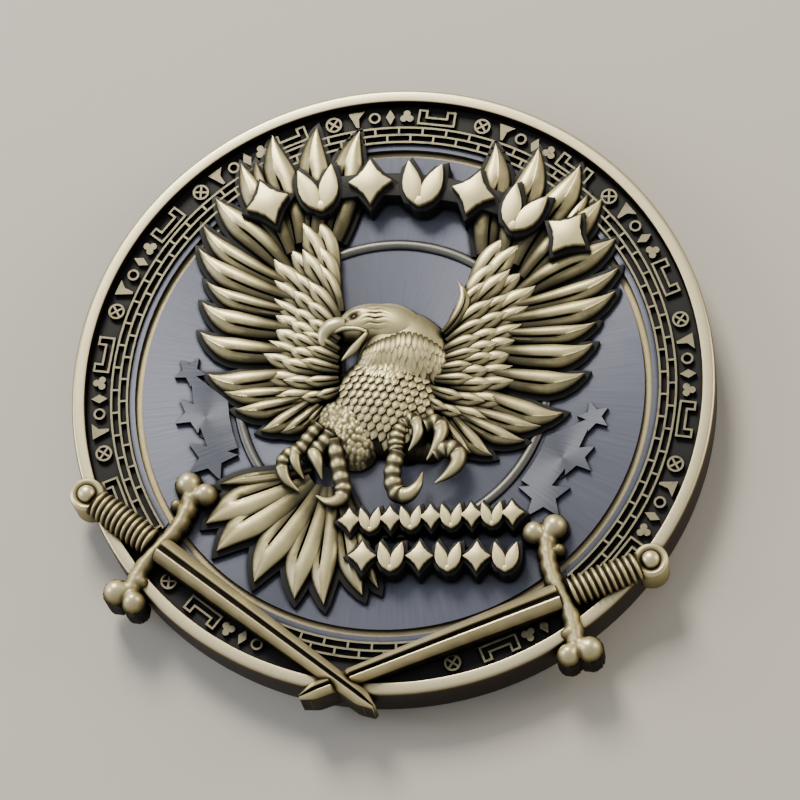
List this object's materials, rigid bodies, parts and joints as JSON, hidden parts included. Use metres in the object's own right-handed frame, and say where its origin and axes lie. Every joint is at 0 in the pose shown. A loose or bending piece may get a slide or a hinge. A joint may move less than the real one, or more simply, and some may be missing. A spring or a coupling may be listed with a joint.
{
  "type": "challenge coin",
  "caption": "Round two-sided challenge coin with a spread eagle in high relief, a brick and fret border and crossed swords standing past the rim.",
  "frame": {"origin": "centre of the round blank on the plane its back rim rests on", "axes": "+Z out of the eagle side, +Y to the top of the design, +X to the right seen from the front"},
  "size_m": [0.05, 0.0511, 0.0054],
  "materials": {
    "pale_brass": "antique brass plate, polished on the high spots, dark in the recesses",
    "dark_bronze": "blackened antique plate",
    "slate_metal": "satin blue-grey translucent lacquer over brushed metal",
    "grey_brass": "satin antique plate, part oxidised"
  },
  "bodies": {
    "root": {"coin_body": "pale_brass", "field_plate": "slate_metal", "centre_disc": "slate_metal", "centre_ring": "grey_brass", "border_ring": "dark_bronze", "step_ring": "grey_brass", "brick_course": "grey_brass", "border_roundels": "grey_brass", "border_keys": "grey_brass", "border_marks": "grey_brass", "star_plate_left": "grey_brass", "star_plate_right": "grey_brass", "wing_backing_left": "dark_bronze", "wing_backing_right": "dark_bronze", "outer_feathers_left": "pale_brass", "outer_feathers_right": "pale_brass", "coverts_left": "pale_brass", "coverts_right": "pale_brass", "tail_backing": "dark_bronze", "tail_feathers": "pale_brass", "eagle_body": "pale_brass", "eagle_thigh": "pale_brass", "eagle_neck": "pale_brass", "eagle_head": "pale_brass", "eagle_eye": "dark_bronze", "lower_beak": "pale_brass", "left_foot": "pale_brass", "right_foot": "pale_brass", "right_talons": "pale_brass", "title_plate": "dark_bronze", "title_marks": "pale_brass", "upper_row_plate": "dark_bronze", "upper_row_marks": "pale_brass", "lower_row_plate": "dark_bronze", "lower_row_marks": "pale_brass", "left_blade": "pale_brass", "right_blade": "pale_brass", "left_guard": "pale_brass", "right_guard": "pale_brass", "left_grip": "pale_brass", "right_grip": "pale_brass", "left_pommel": "pale_brass", "right_pommel": "pale_brass", "back_plate": "slate_metal", "back_border": "dark_bronze", "back_bars": "grey_brass", "back_wreath": "pale_brass", "back_ring": "pale_brass", "back_star": "pale_brass"}
  },
  "joints": []
}
